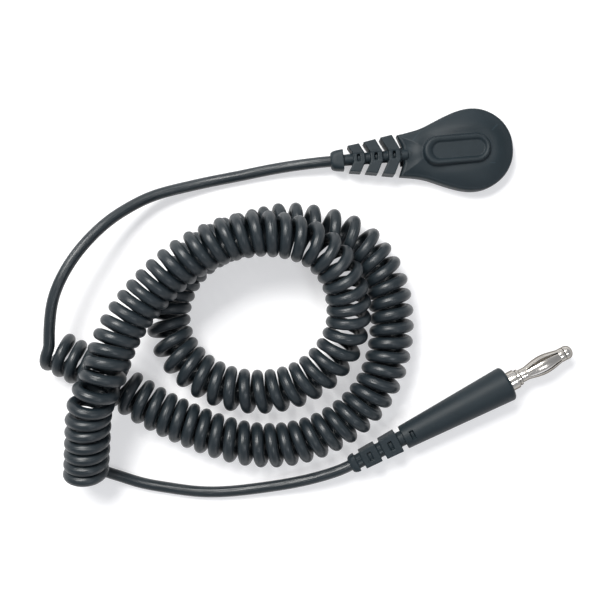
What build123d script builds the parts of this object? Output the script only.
from build123d import *
import math
import os
import numpy as np

# Coiled grounding cord of an ESD wrist strap.
# One end carries a moulded snap head for the wristband's 4 mm stud, the other
# a straight moulded boot with a 4 mm spring-cage banana plug.
# Frame: origin on the snap socket's axis in the plane of the head's underside,
# +Z up, the head's nose 4.7 degrees from +X, the cord lying coiled on the table (z = 0).
# All lengths are in mm, all angles in degrees.

# ---- cord and coil -----------------------------------------------------------
CORD_R = 1.50            # cord jacket
JACKET_BORE_R = 0.78
WIRE_R = 0.60            # tinsel conductor
COIL_R = 4.50            # coil axis to cord centre
COIL_START = 0.004       # turn at which the main coil begins
TURN_SAMPLES = 12        # path points per turn
MIN_SAMPLES = 8          # fewest path intervals in a piece of coil
SPAN_TURNS = 4           # turns swept at a time, nearly
STEP_TURNS = 1e-3        # turn step for the coil axis direction

STRETCH_FIRST = 98.25    # turn at which the free stretching length begins
STRETCH_COUNT = 10       # half turns that open one by one
CUT = 0.03               # clearance at each half-turn end, as a fraction of a turn
STRETCH_LAST = STRETCH_FIRST + 0.5 * STRETCH_COUNT

# ---- strain reliefs ----------------------------------------------------------
RIB_CORE_R = 1.80        # round core between the ribs
RIB_STUB = 0.35          # usual length of core left beyond a rib
RIB_CORNER_R = 0.6
WIRE_BORE_R = WIRE_R + 0.12
WIRE_SEAT_R = WIRE_R + 0.16     # wire bore in the relief ends
CORD_SEAT_R = CORD_R + 0.14     # jacket bore in the relief ends
CORD_END_GAP = 0.15      # from the jacket's end to the bottom of its bore
WIRE_OVERHANG = 0.2      # wire beyond each end of its rib

# ---- snap head, local x to the nose ------------------------------------------
HEAD_ANGLE = 4.70        # from +X
CORD_Z = 3.70            # height of the cord axis in the head
SNAP_IN = -38.7          # cord enters the snap relief
SNAP_CORD_END = SNAP_IN + 1.6
SNAP_STRIP = 6.5         # conductor bared inside the snap relief
COIL_GAP = 0.12          # between the snap lead and the start of the coil

NECK_X = -20.3           # rear face of the shell
SHELL_BOTTOM = 0.2
SHELL_TOP = 7.0
PAD_H = 0.70             # raised badge pad
PAD_ROOT = 0.8           # pad sunk into the shell
RECESS_DEPTH = 0.65      # recess in the pad
CHAMBER_R = 8.5          # round cavity round the socket
CHANNEL_W = 5.2          # cavity between chamber and neck

SOCKET_R = 4.60
SOCKET_HOLE_R = SOCKET_R + 0.1  # hole for the socket in base and carrier
SOCKET_BORE_R = 2.10     # mouth for the 4 mm stud
GROOVE_R = 3.3           # spring groove in the socket
SPRING_R = 0.30          # spring wire in the socket
SPRING_LENGTH = 3.0
SPRING_Y = 2.15
SPRING_Z = 1.65
RIVET_R = 1.0
RIVET_HOLE_R = RIVET_R + 0.08
TAB_BOTTOM = 3.15        # contact tab
TAB_TOP = 3.45
RESISTOR_Z = 3.78
RESISTOR_LEAD_R = 0.25
RESISTOR_BORE_R = RESISTOR_LEAD_R + 0.05

# ---- banana plug, local x to the nose ----------------------------------------
PLUG_ORIGIN = (-32.82, -85.74, 5.00)   # on the plug axis, where the relief begins
PLUG_ANGLE = 27.58       # from +X
PLUG_CORD_END = 0.6      # end of the jacket in the relief
PLUG_STRIP = 1.7         # conductor bared inside the relief's end
BOOT_START = 15.70       # rear face of the smooth boot
BOOT_END = 47.90         # front face of the boot
BOOT_R0 = 3.25
BOOT_R1 = 4.90
STEM_R = 1.90            # stem of the plug body, inside the boot
STEM_START = BOOT_END - 11.9
CUP_END = BOOT_END - 7   # bottom of the solder cup in the stem
COLLAR_R = 2.50
COLLAR_END = 51.40
PIN_R = 0.90             # core pin under the spring cage
PIN_START = COLLAR_END - 2.45
NOSE_R = 1.90            # rounded nose of the 4 mm plug
NOSE_START = 65.0
NOSE_END = 67.10

CAGE_BORE_R = PIN_R + 0.05
CAGE_R = 1.72            # rear ring, and the leaf curve at its ends
FRONT_RING_R = 1.86
LEAF_R = 2.65            # leaves at rest, widest point
LEAF_T = 0.25
LEAF_ARC = 64            # angle each leaf covers round the pin
LEAF_COUNT = 4
BOW_START = 52.6         # ends of the sine bow the leaves follow
BOW_END = 64.4
LEAF_X = [54.2, 55.6, 57.0, 58.4, 59.8, 61.2, 62.9]   # stations along a leaf

# Centre (x, y, z) of each turn of the coil, first at the snap end. The coil lies
# in a spiral of two loops; its last third climbs over the turns below.
TURNS = [
    (-113.82, -54.38, 6.05), (-110.70, -56.07, 6.04), (-107.49, -57.79, 6.03),
    (-104.19, -59.48, 6.02), (-100.58, -61.26, 6.02), (-96.10, -64.12, 6.02),
    (-92.70, -66.46, 6.02), (-89.35, -68.64, 6.02), (-86.01, -70.56, 6.03),
    (-82.81, -72.22, 6.03), (-79.66, -73.70, 6.04), (-76.45, -75.11, 6.04),
    (-73.10, -76.50, 6.04), (-69.53, -77.80, 6.04), (-65.79, -78.93, 6.05),
    (-61.95, -79.78, 6.05), (-58.09, -80.27, 6.05), (-54.30, -80.37, 6.05),
    (-50.60, -80.08, 6.05), (-46.98, -79.39, 6.05), (-43.38, -78.30, 6.05),
    (-39.80, -76.79, 6.05), (-36.35, -74.87, 6.05), (-33.13, -72.54, 6.05),
    (-30.27, -69.87, 6.05), (-27.84, -66.85, 6.05), (-25.84, -63.57, 6.05),
    (-24.30, -60.04, 6.05), (-23.22, -56.37, 6.05), (-22.53, -52.63, 6.05),
    (-22.20, -48.83, 6.04), (-22.24, -45.01, 6.04), (-22.66, -41.22, 6.03),
    (-23.48, -37.50, 6.02), (-24.76, -33.88, 6.02), (-26.95, -30.36, 6.02),
    (-29.35, -27.23, 6.02), (-33.06, -24.31, 6.02), (-37.60, -22.62, 6.02),
    (-42.79, -21.38, 6.02), (-47.45, -20.76, 6.02), (-51.26, -20.72, 6.02),
    (-55.07, -21.43, 6.02), (-58.12, -22.14, 6.02), (-61.52, -23.05, 6.02),
    (-64.95, -24.16, 6.02), (-68.46, -25.58, 6.02), (-71.89, -27.42, 6.02),
    (-75.02, -29.71, 6.03), (-77.74, -32.52, 6.07), (-79.91, -35.75, 6.10),
    (-81.50, -39.37, 6.09), (-82.43, -43.37, 6.08), (-82.47, -47.73, 6.06),
    (-81.37, -52.09, 6.03), (-79.30, -55.91, 6.02), (-76.55, -59.09, 6.03),
    (-73.28, -61.65, 6.05), (-69.62, -63.64, 6.08), (-65.68, -64.99, 6.13),
    (-61.60, -65.72, 6.20), (-57.52, -65.90, 6.29), (-53.47, -65.52, 6.42),
    (-49.49, -64.54, 6.59), (-45.72, -62.91, 6.82), (-42.27, -60.63, 7.11),
    (-39.24, -57.76, 7.50), (-36.75, -54.41, 8.01), (-34.93, -50.60, 8.69),
    (-34.06, -46.54, 9.54), (-34.03, -42.73, 10.56), (-34.54, -39.20, 11.69),
    (-35.66, -35.57, 12.88), (-37.64, -32.09, 14.07), (-40.23, -29.21, 15.12),
    (-43.51, -26.86, 16.01), (-47.34, -25.36, 16.75), (-50.84, -24.57, 17.23),
    (-54.37, -24.15, 17.61), (-58.06, -24.12, 17.83), (-61.80, -24.66, 17.98),
    (-65.27, -25.49, 18.04), (-68.97, -26.86, 18.07), (-72.35, -28.48, 18.01),
    (-75.62, -30.44, 17.92), (-78.56, -32.52, 17.80), (-81.35, -34.84, 17.66),
    (-83.88, -37.23, 17.52), (-86.21, -39.68, 17.39), (-88.40, -42.17, 17.28),
    (-90.49, -44.83, 17.21), (-92.43, -47.75, 17.20), (-94.08, -50.90, 17.28),
    (-95.40, -54.15, 17.43), (-96.43, -57.45, 17.63), (-97.70, -61.14, 17.75),
    (-99.49, -64.81, 17.30), (-101.12, -68.31, 16.00), (-102.08, -71.74, 14.50),
    (-102.53, -75.02, 13.30), (-102.95, -78.19, 12.10), (-103.38, -81.24, 10.90),
    (-103.81, -84.18, 9.70), (-104.24, -87.04, 8.50), (-104.67, -89.87, 7.30),
]

# Free run of the snap lead (x, y, z), from the head to the coil
SNAP_RUN = [
    (-46.99, -4.0, 2.9), (-55.23, -5.2, 2.1), (-63.49, -6.82, 1.7), (-71.76, -8.46, 1.85),
    (-78.61, -10.1, 2.6), (-87.9, -13.1, 4.6), (-92.9, -15.9, 6.2), (-97.7, -19.5, 8.3),
    (-102.4, -24.3, 10.4), (-106.7, -30.0, 11.9), (-109.9, -35.7, 12.5),
    (-112.0, -41.2, 12.3), (-112.95, -46.4, 11.75), (-113.35, -50.2, 11.1),
]
COIL_APPROACH = [0.36, 1.45, 0.15]   # last bend of the snap lead, from the coil's start

# Free run of the plug lead (x, y, z), from the coil to the plug
PLUG_RUN = [
    (-99.2, -88.4, 3.2), (-96.3, -89.5, 2.5), (-91.15, -91.3, 1.75), (-84.25, -92.68, 1.52),
    (-74.59, -93.92, 1.5), (-67.69, -93.9, 1.6), (-60.78, -93.19, 1.9),
    (-53.87, -92.13, 2.5), (-47.12, -90.75, 3.4), (-40.5, -88.9, 4.3),
]
PLUG_LEAD_UNCOIL = 103.47   # turn at which the plug lead leaves the coil's curve

# Caps over the cord's end: local x, height, width, corner radius
SNAP_CAP = [(SNAP_IN, 4.6, 4.6, 1.5), (-37.4, 5.2, 5.4, 1.2), (-35.2, 5.4, 5.8, 0.8)]
PLUG_CAP = [(-1.1, 4.6, 4.8, 1.5), (0.0, 5.0, 5.4, 1.2), (2.0, 5.2, 5.6, 0.8)]

# Separate ribs: rib and wire names, then the values that rib() takes:
# rear x, front x, rear and front half width, half height, rear and front stub
SNAP_RIBS = [
    ("snap_relief_rib_2", "snap_wire_1", (-29.5, -26.3, 4.1, 4.65, 2.9, RIB_STUB, RIB_STUB)),
    ("snap_relief_rib_3", "snap_wire_2", (-25.0, -21.7, 4.8, 5.4, 3.1, RIB_STUB, RIB_STUB)),
]
PLUG_RIBS = [
    ("plug_relief_rib_1", "plug_wire_1", (3.3, 7.9, 2.75, 2.95, 2.7, RIB_STUB, 0.3)),
    ("plug_relief_rib_2", "plug_wire_2", (9.2, 14.3, 3.0, 3.25, 2.95, 0.3, 0.3)),
]

# Left side of the teardrop head from neck to nose (x, y); the right mirrors it
HEAD_SIDE = [
    (NECK_X, 5.75), (-15.2, 6.85), (-10.8, 8.55), (-5.4, 10.45),
    (0.0, 11.4), (5.7, 9.95), (9.6, 6.2), (11.35, 0.0),
]

HEAD = Location((0, 0, 0), (0, 0, HEAD_ANGLE))
PLUG = Location(PLUG_ORIGIN, (0, 0, PLUG_ANGLE))

os.makedirs("parts", exist_ok=True)


def save(shape, name):
    """Write one piece's STEP file."""
    export_step(shape, f"parts/{name}.step")


# ---- coil path ---------------------------------------------------------------
def second_derivatives(knots):
    """Natural cubic spline through equally spaced knots."""
    n = len(knots) - 1
    matrix = np.zeros((n + 1, n + 1))
    rhs = np.zeros((n + 1, knots.shape[1]))
    matrix[0, 0] = matrix[n, n] = 1
    for i in range(1, n):
        matrix[i, i - 1:i + 2] = 1, 4, 1
        rhs[i] = 6 * (knots[i - 1] - 2 * knots[i] + knots[i + 1])
    return np.linalg.solve(matrix, rhs)


CENTRES = np.array(TURNS, float)
LAST_TURN = len(CENTRES) - 1
BENDS = second_derivatives(CENTRES)


def axis_point(turn):
    """Point on the coil's axis."""
    i = min(max(int(math.floor(turn)), 0), LAST_TURN - 1)
    t = turn - i
    return (CENTRES[i] * (1 - t) + CENTRES[i + 1] * t
            + ((1 - t) ** 3 - (1 - t)) * BENDS[i] / 6 + (t ** 3 - t) * BENDS[i + 1] / 6)


def cord_point(turn):
    """Centre of the cord in the right-handed coil."""
    before = max(turn - STEP_TURNS, 0)
    after = min(turn + STEP_TURNS, LAST_TURN)
    along = axis_point(after) - axis_point(before)
    along /= np.linalg.norm(along)
    left = np.cross([0, 0, 1], along)
    left /= np.linalg.norm(left)
    up = np.cross(along, left)
    angle = 2 * math.pi * turn + math.pi / 2
    return axis_point(turn) + COIL_R * (math.cos(angle) * left + math.sin(angle) * up)


def cord_points(start, end, count):
    return [tuple(cord_point(turn)) for turn in np.linspace(start, end, count)]


def coil_edge(start, end):
    intervals = max(int(round((end - start) * TURN_SAMPLES)), MIN_SAMPLES)
    return Spline(*cord_points(start, end, intervals + 1))


# ---- sweeps along the cord ---------------------------------------------------
def swept_wall(path, radius, frenet):
    """Side faces and the two end discs of a round sweep along a path."""
    body = sweep(Plane(origin=path @ 0, z_dir=path % 0) * Circle(radius),
                 path=path, is_frenet=frenet).solids()[0]
    sides = [f for f in body.faces() if f.geom_type != GeomType.PLANE]
    discs = [f for f in body.faces() if f.geom_type == GeomType.PLANE]
    discs.sort(key=lambda f: (f.center() - (path @ 0)).length)
    return sides, discs[0], discs[-1]


def tube_along(edge, spans, outer_r, bore_r, frenet):
    """One closed solid along a path: swept in spans and joined in one shell."""
    walls = []
    first, last = {}, {}
    for radius in ([outer_r, bore_r] if bore_r else [outer_r]):
        for i in range(spans):
            part = edge.trim(i / spans, (i + 1) / spans) if spans > 1 else edge
            sides, start_disc, end_disc = swept_wall(part, radius, frenet)
            walls += sides
            if i == 0:
                first[radius] = start_disc
            if i == spans - 1:
                last[radius] = end_disc
    for ends in (first, last):
        holes = [ends[bore_r].outer_wire()] if bore_r else []
        walls.append(Face(ends[outer_r].outer_wire(), holes))
    return Solid(Shell(walls))


def jacket(edge, spans=1, frenet=False):
    return tube_along(edge, spans, CORD_R, JACKET_BORE_R, frenet)


def conductor(edge, spans=1, frenet=False):
    return tube_along(edge, spans, WIRE_R, 0, frenet)


# main coil, from the snap lead to the free turns
main_coil = coil_edge(COIL_START, STRETCH_FIRST - CUT)
main_spans = int(round(STRETCH_FIRST / SPAN_TURNS))
save(jacket(main_coil, main_spans, True), "coil_jacket")
save(conductor(main_coil, main_spans, True), "coil_conductor")

# free half turns, which open as the cord is pulled
for k in range(STRETCH_COUNT):
    half_start = STRETCH_FIRST + 0.5 * k
    half = coil_edge(half_start + CUT, half_start + 0.5 - CUT)
    save(jacket(half, frenet=True), f"coil_half_turn_{k + 1:02d}")
    save(conductor(half, frenet=True), f"coil_wire_{k + 1:02d}")


# ---- leads -------------------------------------------------------------------
def place(frame, x, z=0.0):
    """Global point of a local one on the plane y = 0."""
    v = (frame * Location((x, 0, z))).position
    return (v.X, v.Y, v.Z)


coil_start = cord_point(0.0)
snap_lead = Spline(
    place(HEAD, SNAP_CORD_END + SNAP_STRIP, CORD_Z),
    place(HEAD, SNAP_CORD_END + SNAP_STRIP / 2, CORD_Z),
    place(HEAD, SNAP_CORD_END, CORD_Z),
    place(HEAD, SNAP_IN, CORD_Z - 0.02),
    *SNAP_RUN,
    tuple(coil_start + np.array(COIL_APPROACH)),
    tuple(coil_start))
snap_lead_end = 1 - COIL_GAP / snap_lead.length
save(jacket(snap_lead.trim(SNAP_STRIP / snap_lead.length, snap_lead_end)), "snap_lead_jacket")
save(conductor(snap_lead.trim(0, snap_lead_end)), "snap_lead_conductor")

plug_lead = Spline(
    *cord_points(STRETCH_LAST + CUT, PLUG_LEAD_UNCOIL, 4),
    *PLUG_RUN,
    place(PLUG, -1.4),
    place(PLUG, PLUG_CORD_END),
    place(PLUG, PLUG_CORD_END + PLUG_STRIP))
save(jacket(plug_lead.trim(0, 1 - PLUG_STRIP / plug_lead.length)), "plug_lead_jacket")
save(conductor(plug_lead), "plug_lead_conductor")


# ---- basic solids, in the local frame of the head or plug --------------------
def rod(x0, x1, radius, z=0.0):
    """Cylinder along x."""
    return Pos((x0 + x1) / 2, 0, z) * Rot(0, 90, 0) * Cylinder(radius, x1 - x0)


def tube(x0, x1, radius, bore, z=0.0):
    return rod(x0, x1, radius, z) - rod(x0 - 1, x1 + 1, bore, z)


def post(radius, z0, z1):
    """Cylinder on the z axis."""
    return Pos(0, 0, (z0 + z1) / 2) * Cylinder(radius, z1 - z0)


def block(x0, x1, width, z0, z1):
    """Box centred on y = 0."""
    return Pos((x0 + x1) / 2, 0, (z0 + z1) / 2) * Box(x1 - x0, width, z1 - z0)


def turned(profile):
    """Solid of revolution about the x axis from (x, radius) points."""
    with BuildPart() as solid:
        with BuildSketch(Plane.XZ):
            with BuildLine():
                Polyline(*profile, close=True)
            make_face()
        revolve(axis=Axis.X)
    return solid.part


# ---- strain reliefs ----------------------------------------------------------
def rounded_loft(stations, z):
    """Loft through rounded rectangles: x, height, width, corner radius."""
    return loft([Plane(origin=(x, 0, z), z_dir=(1, 0, 0)) * RectangleRounded(height, width, corner)
                 for x, height, width, corner in stations])


def rib(x0, x1, half_w0, half_w1, half_h, stub0, stub1, z):
    """A tapered rib with its length of the round core, bored for the wire."""
    body = rounded_loft([(x0, half_h * 2, half_w0 * 2, RIB_CORNER_R),
                         (x1, half_h * 2, half_w1 * 2, RIB_CORNER_R)], z)
    return body + rod(x0 - stub0, x1 + stub1, RIB_CORE_R, z) - rod(x0 - 3, x1 + 3, WIRE_BORE_R, z)


def save_ribs(frame, ribs, z):
    for rib_name, wire_name, sizes in ribs:
        x0, x1 = sizes[:2]
        save(frame * rib(*sizes, z), rib_name)
        save(frame * rod(x0 - WIRE_OVERHANG, x1 + WIRE_OVERHANG, WIRE_R, z), wire_name)


def snap_relief_end():
    """Cap moulded over the cord, with the first rib."""
    end = rounded_loft(SNAP_CAP, CORD_Z) + rib(-33.9, -30.8, 3.55, 3.95, 2.7, 2.0, RIB_STUB, CORD_Z)
    return (end - rod(-40, SNAP_CORD_END + CORD_END_GAP, CORD_SEAT_R, CORD_Z)
            - rod(-40, -29, WIRE_SEAT_R, CORD_Z))


def plug_relief_end():
    """Cap moulded over the cord, with a stub of core."""
    end = rounded_loft(PLUG_CAP, 0) + rod(1.5, 2.35, RIB_CORE_R)
    return end - rod(-3, PLUG_CORD_END + CORD_END_GAP, CORD_SEAT_R) - rod(-3, 4, WIRE_SEAT_R)


save(HEAD * snap_relief_end(), "snap_relief_end")
save_ribs(HEAD, SNAP_RIBS, CORD_Z)
save(PLUG * plug_relief_end(), "plug_relief_end")
save_ribs(PLUG, PLUG_RIBS, 0)


# ---- snap head ---------------------------------------------------------------
def head_outline():
    left = Spline(*HEAD_SIDE, tangents=((1, 0.16), (0, -1)))
    right = Spline(*[(x, -y) for x, y in reversed(HEAD_SIDE)], tangents=((0, -1), (-1, 0.16)))
    neck = Line(right @ 1, left @ 0)
    return make_face([left, right, neck])


def head_shell():
    """Chamfered teardrop with the badge pad, hollowed from below."""
    shell = Pos(0, 0, SHELL_BOTTOM) * extrude(head_outline(), SHELL_TOP - SHELL_BOTTOM)
    shell = chamfer(shell.edges().group_by(Axis.Z)[-1], 1.2, 1.6)
    shell = chamfer(shell.edges().group_by(Axis.Z)[0], 0.5)
    pad = Pos(-4.6, 0, SHELL_TOP - PAD_ROOT) * extrude(SlotOverall(18.4, 7.9), PAD_H + PAD_ROOT)
    recess = Pos(-4.2, 0, SHELL_TOP + PAD_H - RECESS_DEPTH) * extrude(SlotOverall(14.6, 4.7), 2)
    shell = shell + pad - recess
    shell = shell - post(CHAMBER_R, -0.2, 5.2) - block(-19.7, -7.1, CHANNEL_W, -0.3, 5.1)
    shell = shell + rod(NECK_X - RIB_STUB, NECK_X + 0.1, RIB_CORE_R, CORD_Z)
    return shell - rod(-22, -19.5, WIRE_BORE_R, CORD_Z)


def head_base():
    """Underside plate, closing the shell round the socket."""
    plate = post(CHAMBER_R - 0.1, 0, 1.3) + block(-19.5, -7.1, CHANNEL_W - 0.2, 0, 1.3)
    return plate - Cylinder(SOCKET_HOLE_R, 6)


def socket_carrier():
    """Rigid ring that holds the socket, slotted for the tab and resistor."""
    ring = post(CHAMBER_R - 0.2, 1.4, 4.6) - post(SOCKET_HOLE_R, 1, 5)
    return ring - block(-9.5, -3.5, 3.4, 2.0, 5.2)


def snap_socket():
    """Female socket: mouth, spring groove, closed web with rivet hole."""
    socket = post(SOCKET_R, 0.1, 3.1) - post(SOCKET_BORE_R, -0.1, 2.6)
    return socket - post(GROOVE_R, 1.2, 2.1) - Cylinder(RIVET_HOLE_R, 10)


def socket_spring(y):
    wire = Pos(0, y, SPRING_Z) * Rot(0, 90, 0) * Cylinder(SPRING_R, SPRING_LENGTH)
    return fillet(wire.edges(), 0.12)


def socket_rivet():
    """Shank, upper head and thin lower flange."""
    return post(RIVET_R, 2.53, 3.53) + post(1.9, 3.52, 3.92) + post(1.5, 2.37, 2.53)


def contact_tab():
    """Ring on the rivet with a strip towards the resistor."""
    tab = post(2.6, TAB_BOTTOM, TAB_TOP) + block(-7.5, -2.1, 1.8, TAB_BOTTOM, TAB_TOP)
    return tab - Cylinder(RIVET_HOLE_R, 12)


def resistor_body():
    """Barrel with a wider band at each end, bored for the leads."""
    body = rod(-15.2, -9.0, 0.95, RESISTOR_Z)
    for x0, x1 in ((-15.4, -13.9), (-10.4, -8.9)):
        body = body + rod(x0, x1, 1.15, RESISTOR_Z)
    for x0, x1 in ((-16, -14.6), (-9.7, -8)):
        body = body - rod(x0, x1, RESISTOR_BORE_R, RESISTOR_Z)
    return body


def resistor_leads():
    return Compound([rod(x0, x1, RESISTOR_LEAD_R, RESISTOR_Z).solids()[0]
                     for x0, x1 in ((-17.2, -14.7), (-9.6, -5.4))])


save(HEAD * head_shell(), "snap_head_shell")
save(HEAD * head_base(), "snap_head_base")
save(HEAD * socket_carrier(), "socket_carrier")
save(HEAD * snap_socket(), "snap_socket")
save(HEAD * socket_spring(SPRING_Y), "socket_spring_left")
save(HEAD * socket_spring(-SPRING_Y), "socket_spring_right")
save(HEAD * socket_rivet(), "socket_rivet")
save(HEAD * contact_tab(), "contact_tab")
save(HEAD * resistor_body(), "resistor_body")
save(HEAD * resistor_leads(), "resistor_leads")
save(HEAD * tube(-18.6, -16.2, 1.1, 0.68, CORD_Z), "crimp_sleeve")
save(HEAD * rod(-20.9, -17.5, WIRE_R, CORD_Z), "snap_wire_3")


# ---- banana plug -------------------------------------------------------------
def plug_boot():
    """Tapered boot, bored for the wire and the plug body's stem."""
    boot = turned([(BOOT_START, 0), (BOOT_START, BOOT_R0), (BOOT_END - 0.9, BOOT_R1 - 0.05),
                   (BOOT_END - 0.3, BOOT_R1 - 0.3), (BOOT_END, BOOT_R1 - 0.9), (BOOT_END, 0)])
    boot = boot + rod(BOOT_START - 0.3, BOOT_START + 1, RIB_CORE_R)
    return (boot - rod(BOOT_START - 2, STEM_START, WIRE_BORE_R)
            - rod(STEM_START - 0.1, BOOT_END + 1, STEM_R + 0.06))


def plug_body():
    """Stem with its solder cup, and the collar, bored for the pin."""
    shoulder = BOOT_END + 0.05
    body = turned([(STEM_START, 0), (STEM_START, STEM_R), (shoulder, STEM_R),
                   (shoulder, COLLAR_R - 0.15), (BOOT_END + 0.25, COLLAR_R),
                   (COLLAR_END - 0.9, COLLAR_R), (COLLAR_END - 0.6, COLLAR_R - 0.25),
                   (COLLAR_END, COLLAR_R - 0.3), (COLLAR_END, 0)])
    return (body - rod(BOOT_END - 13, CUP_END, WIRE_R + 0.14)
            - rod(PIN_START - 0.05, COLLAR_END + 1, PIN_R + 0.02))


def plug_pin():
    """Core pin with the rounded nose."""
    return turned([(PIN_START, 0), (PIN_START, PIN_R), (NOSE_START, PIN_R),
                   (NOSE_START, NOSE_R), (NOSE_END - 1.1, NOSE_R), (NOSE_END - 0.45, 1.45),
                   (NOSE_END - 0.1, 0.8), (NOSE_END, 0.0)])


def leaf_radius(x):
    """Outer radius of a bowed leaf."""
    bow = math.sin(math.pi * (x - BOW_START) / (BOW_END - BOW_START))
    return CAGE_R + (LEAF_R - CAGE_R) * bow ** 1.3


def leaf_spring():
    with BuildPart() as leaf:
        with BuildSketch(Plane.XZ):
            with BuildLine():
                outer = Spline(*[(x, leaf_radius(x)) for x in LEAF_X])
                inner = Spline(*[(x, leaf_radius(x) - LEAF_T) for x in reversed(LEAF_X)])
                Line(outer @ 1, inner @ 0)
                Line(inner @ 1, outer @ 0)
            make_face()
        revolve(axis=Axis.X, revolution_arc=LEAF_ARC)
    return leaf.part


save(PLUG * plug_boot(), "plug_boot")
save(PLUG * rod(BOOT_START - 0.6, CUP_END - 0.2, WIRE_R), "plug_wire_3")
save(PLUG * plug_body(), "plug_body")
save(PLUG * plug_pin(), "plug_pin")

# spring cage: two rings that turn on the pin, and the leaves between them
save(PLUG * tube(COLLAR_END + 0.1, 54.0, CAGE_R, CAGE_BORE_R), "cage_rear_ring")
save(PLUG * tube(63.3, NOSE_START - 0.1, FRONT_RING_R, CAGE_BORE_R), "cage_front_ring")
for i in range(LEAF_COUNT):
    leaf_turn = Rot(360 / LEAF_COUNT * i - LEAF_ARC / 2, 0, 0)
    save(PLUG * (leaf_turn * leaf_spring()), f"leaf_spring_{i + 1}")
